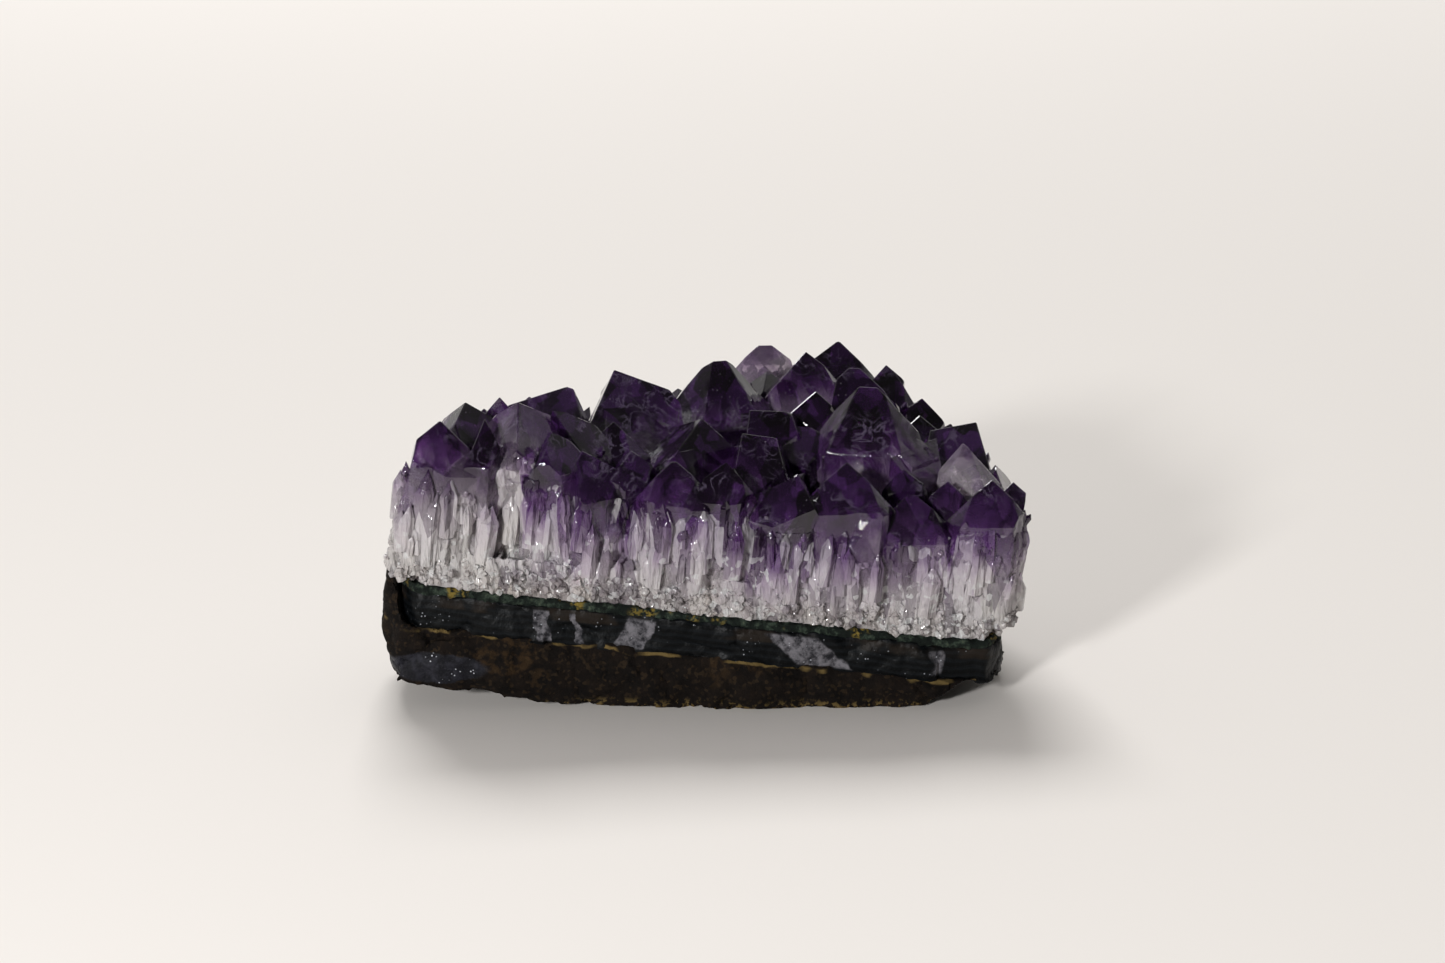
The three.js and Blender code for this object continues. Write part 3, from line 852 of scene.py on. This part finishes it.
class Growth(NodeTree):
    """A geometry tree that strews a small crystal over part of a surface."""

    SIZES = (
        ("Density", "NodeSocketFloat"),  # for each square mm
        ("Lowest", "NodeSocketFloat"),  # height over the seam
        ("Highest", "NodeSocketFloat"),
        ("Least_Upward", "NodeSocketFloat"),  # upward part of the surface's normal
        ("Most_Upward", "NodeSocketFloat"),
        ("Width", "NodeSocketFloat"),
        ("Length", "NodeSocketFloat"),
        ("Smallest", "NodeSocketFloat"),  # size of the smallest as a share of the largest
        ("Upright", "NodeSocketFloat"),  # 0 square to the surface, 1 square to the layers
        ("Tumbled", "NodeSocketFloat"),  # how far each is turned at random, in radians
        ("Seed", "NodeSocketInt"),
        ("Material", "NodeSocketMaterial"),
    )

    def __init__(self, name):
        super().__init__(bpy.data.node_groups.new(name, "GeometryNodeTree"))
        face = self.tree.interface
        face.new_socket("Surface", in_out="INPUT", socket_type="NodeSocketGeometry")
        self.identifiers = {
            label: face.new_socket(label, in_out="INPUT", socket_type=kind).identifier
            for label, kind in self.SIZES
        }
        face.new_socket("Grown", in_out="OUTPUT", socket_type="NodeSocketGeometry")
        given = self.node("NodeGroupInput", {}, output=None)
        self.given = {s.name: Signal(self, s) for s in given.outputs if s.name}

        points, outward = self.scattered()
        placed = self.node(
            "GeometryNodeInstanceOnPoints",
            {},
            points,
            named={
                "Instance": self.small_crystal(),
                "Rotation": self.rotation(outward),
                "Scale": self.scale(),
            },
        )
        real = self.node("GeometryNodeRealizeInstances", {}, placed)
        finished = self.node(
            "GeometryNodeSetMaterial", {}, real, named={"Material": self.given["Material"]}
        )
        self.node("NodeGroupOutput", {}, finished, output=None)

    def scattered(self):
        """Points on the chosen part of the surface, and the way that it faces at each."""
        given = self.given
        x, _, z = self.split(self.node("GeometryNodeInputPosition", {}))
        facing_up = self.split(self.node("GeometryNodeInputNormal", {}))[2]
        height = height_over_seam(x, z)
        chosen = self.between(height, given["Lowest"], given["Highest"])
        chosen = chosen * self.between(facing_up, given["Least_Upward"], given["Most_Upward"])
        strewn = self.node(
            "GeometryNodeDistributePointsOnFaces",
            {"distribute_method": "RANDOM"},
            given["Surface"], chosen, given["Density"], given["Seed"],
            output=None,
        )
        return [Signal(self, strewn.outputs[k]) for k in ("Points", "Normal")]

    def rotation(self, outward):
        """Each crystal's turn: its length aimed, then spun about itself and tipped over."""
        given = self.given
        across = self.vector("SCALE", outward, scale=1 - given["Upright"])
        upward = self.vector("SCALE", tuple(LAYER_UP), scale=given["Upright"])
        turned = self.node(
            "FunctionNodeAlignRotationToVector",
            {"axis": "Z"},
            named={"Vector": self.vector("ADD", across, upward)},
        )
        for axis, angle in (
            ((0, 0, 1), 2 * math.pi * self.chance(2)),
            ((1, 0, 0), given["Tumbled"] * self.chance(1)),
        ):
            turn = self.node("FunctionNodeAxisAngleToRotation", {}, axis, angle)
            turned = self.node(
                "FunctionNodeRotateRotation", {"rotation_space": "LOCAL"}, turned, turn
            )
        return turned

    def scale(self):
        """Each crystal's width, thickness and length, with many small ones."""
        given = self.given
        share = given["Smallest"] + (1 - given["Smallest"]) * self.chance(3) ** 2
        wide = given["Width"] * share
        tall = given["Length"] * share * (0.7 + 0.3 * self.chance(4))
        return self.combine(wide, wide * (0.6 + 0.4 * self.chance(5)), tall)

    def between(self, value, low, high):
        above = self._compare("GREATER_THAN", value, low)
        return above * self._compare("LESS_THAN", value, high)

    def _compare(self, operation, a, b):
        return self.node("ShaderNodeMath", {"operation": operation}, a, b)

    def chance(self, draw):
        """A random value from 0 to 1 for each crystal, another for each draw."""
        return self.node(
            "FunctionNodeRandomValue",
            {"data_type": "FLOAT"},
            0.0, 1.0,
            named={"Seed": self.given["Seed"] * 7 + draw},
        )

    def small_crystal(self):
        """A six-sided prism 1 wide and 1 tall about its middle, with a point on top."""
        prism = self.node(
            "GeometryNodeMeshCylinder",
            {"fill_type": "TRIANGLE_FAN"},
            named={"Vertices": 6, "Radius": 0.5, "Depth": 1.0},
        )
        place = self.node("GeometryNodeInputPosition", {})
        x, y, z = self.split(place)
        middle = self._compare("LESS_THAN", x * x + y * y, 0.01)
        tip = middle * self._compare("GREATER_THAN", z, 0)
        return self.node(
            "GeometryNodeSetPosition", {}, prism, tip, named={"Offset": (0.05, 0.02, 0.4)}
        )


def strewn(growth, name, surface, material, **sizes):
    """A mesh of small crystals on a surface."""

    def add(modifiers):
        modifier = modifiers.new(name, "NODES")
        modifier.node_group = growth.tree
        modifier[growth.identifiers["Material"]] = material
        for label, value in sizes.items():
            modifier[growth.identifiers[label]] = value

    return evaluated(name, surface.copy(), add)


def make_small_crystals(surface):
    growth = Growth("small_crystals")
    columns = strewn(
        growth, "splinters", surface, QUARTZ,
        Density=0.13, Lowest=5.5, Highest=13.0, Least_Upward=-0.4, Most_Upward=0.45,
        Width=3.6, Length=9.0, Smallest=0.3, Upright=0.95, Tumbled=0.1, Seed=3,
    )
    piece("splinter_columns", columns, QUARTZ, "milky_quartz")
    points = strewn(
        growth, "infill", surface, AMETHYST,
        Density=0.16, Lowest=5.0, Highest=40.0, Least_Upward=0.35, Most_Upward=1.01,
        Width=2.6, Length=4.2, Smallest=0.3, Upright=0.6, Tumbled=0.5, Seed=11,
    )
    piece("infill_points", points, AMETHYST, "amethyst")
    grains = strewn(
        growth, "grains", surface, QUARTZ,
        Density=1.1, Lowest=0.5, Highest=4.5, Least_Upward=-0.9, Most_Upward=0.8,
        Width=1.7, Length=1.7, Smallest=0.25, Upright=0.2, Tumbled=3.0, Seed=23,
    )
    piece("sugary_grains", grains, QUARTZ, "milky_quartz")


def make_quartz():
    planes_of = grown_planes()
    tops = {name: corners_within(planes)[:, 2].max() for name, planes in planes_of.items()}
    make_crystals(planes_of, tops)
    bed = rough_quartz(planes_of, tops)
    make_small_crystals(bed)
    bed = smoothed(thinned(bed, share=0.7), sharpest=30)
    piece("quartz_bed", bed, QUARTZ, "milky_quartz", "milky_quartz_bed")


make_layers()
make_quartz()


# ---------------------------------------------------------------- stage

TABLE_REACH = 3.0  # of the table to each side, in metres
FRONT_LIGHT = 0.06  # strength of the surroundings' light from the front and the back
BACK_LIGHT = 0.54
CAMERA_AIM = (3.07, -0.23, 27.6)  # in mm, as is the rest of the camera
CAMERA_DISTANCE = 497
CAMERA_HEIGHT = math.radians(17)
LENS = 75


def make_camera():
    camera = bpy.data.objects.new("camera", bpy.data.cameras.new("camera"))
    back = Vector((0, -math.cos(CAMERA_HEIGHT), math.sin(CAMERA_HEIGHT)))
    camera.location = (Vector(CAMERA_AIM) + back * CAMERA_DISTANCE) * MM
    camera.rotation_euler = (math.pi / 2 - CAMERA_HEIGHT, 0, 0)
    camera.data.lens = LENS
    camera.data.clip_start = 0.01
    bpy.context.scene.collection.objects.link(camera)
    bpy.context.scene.camera = camera


def area_light(name, place, aim, size, power):
    light = bpy.data.lights.new(name, "AREA")
    light.shape = "RECTANGLE"
    light.size, light.size_y = (side * MM for side in size)
    light.energy = power
    made = bpy.data.objects.new(name, light)
    made.location = Vector(place) * MM
    made.rotation_euler = (Vector(aim) - Vector(place)).to_track_quat("-Z", "Y").to_euler()
    bpy.context.scene.collection.objects.link(made)


def make_stage():
    work = bmesh.new()
    for x, y in ((-1, -1), (1, -1), (1, 1), (-1, 1)):
        work.verts.new((x * TABLE_REACH, y * TABLE_REACH, 0))
    work.faces.new(work.verts)
    table = bpy.data.objects.new("table", as_mesh(work, "table"))
    bpy.context.scene.collection.objects.link(table)
    s = Shader("pale_cloth")
    table.data.materials.append(s.finish(Base_Color=(*hue("e6e1dc"), 1), Roughness=0.9))

    world = bpy.data.worlds.new("studio")
    world.use_nodes = True
    sky = NodeTree(world.node_tree)
    _, toward_back, _ = sky.split(sky.node("ShaderNodeTexCoord", {}, output="Generated"))
    strength = toward_back.ease(-0.4, 0.7, FRONT_LIGHT, BACK_LIGHT)
    light = sky.node("ShaderNodeBackground", {}, (1.0, 0.98, 0.95, 1), strength)
    sky.node("ShaderNodeOutputWorld", {}, light, output=None)
    bpy.context.scene.world = world

    area_light(
        "back_softbox", place=(-400, 1800, 2000), aim=(0, 0, 20), size=(1300, 1000), power=56
    )
    area_light(
        "front_softbox", place=(-420, -800, 330), aim=(0, 0, 25), size=(110, 110), power=7
    )


make_stage()
make_camera()
bpy.context.scene.view_settings.view_transform = "Standard"
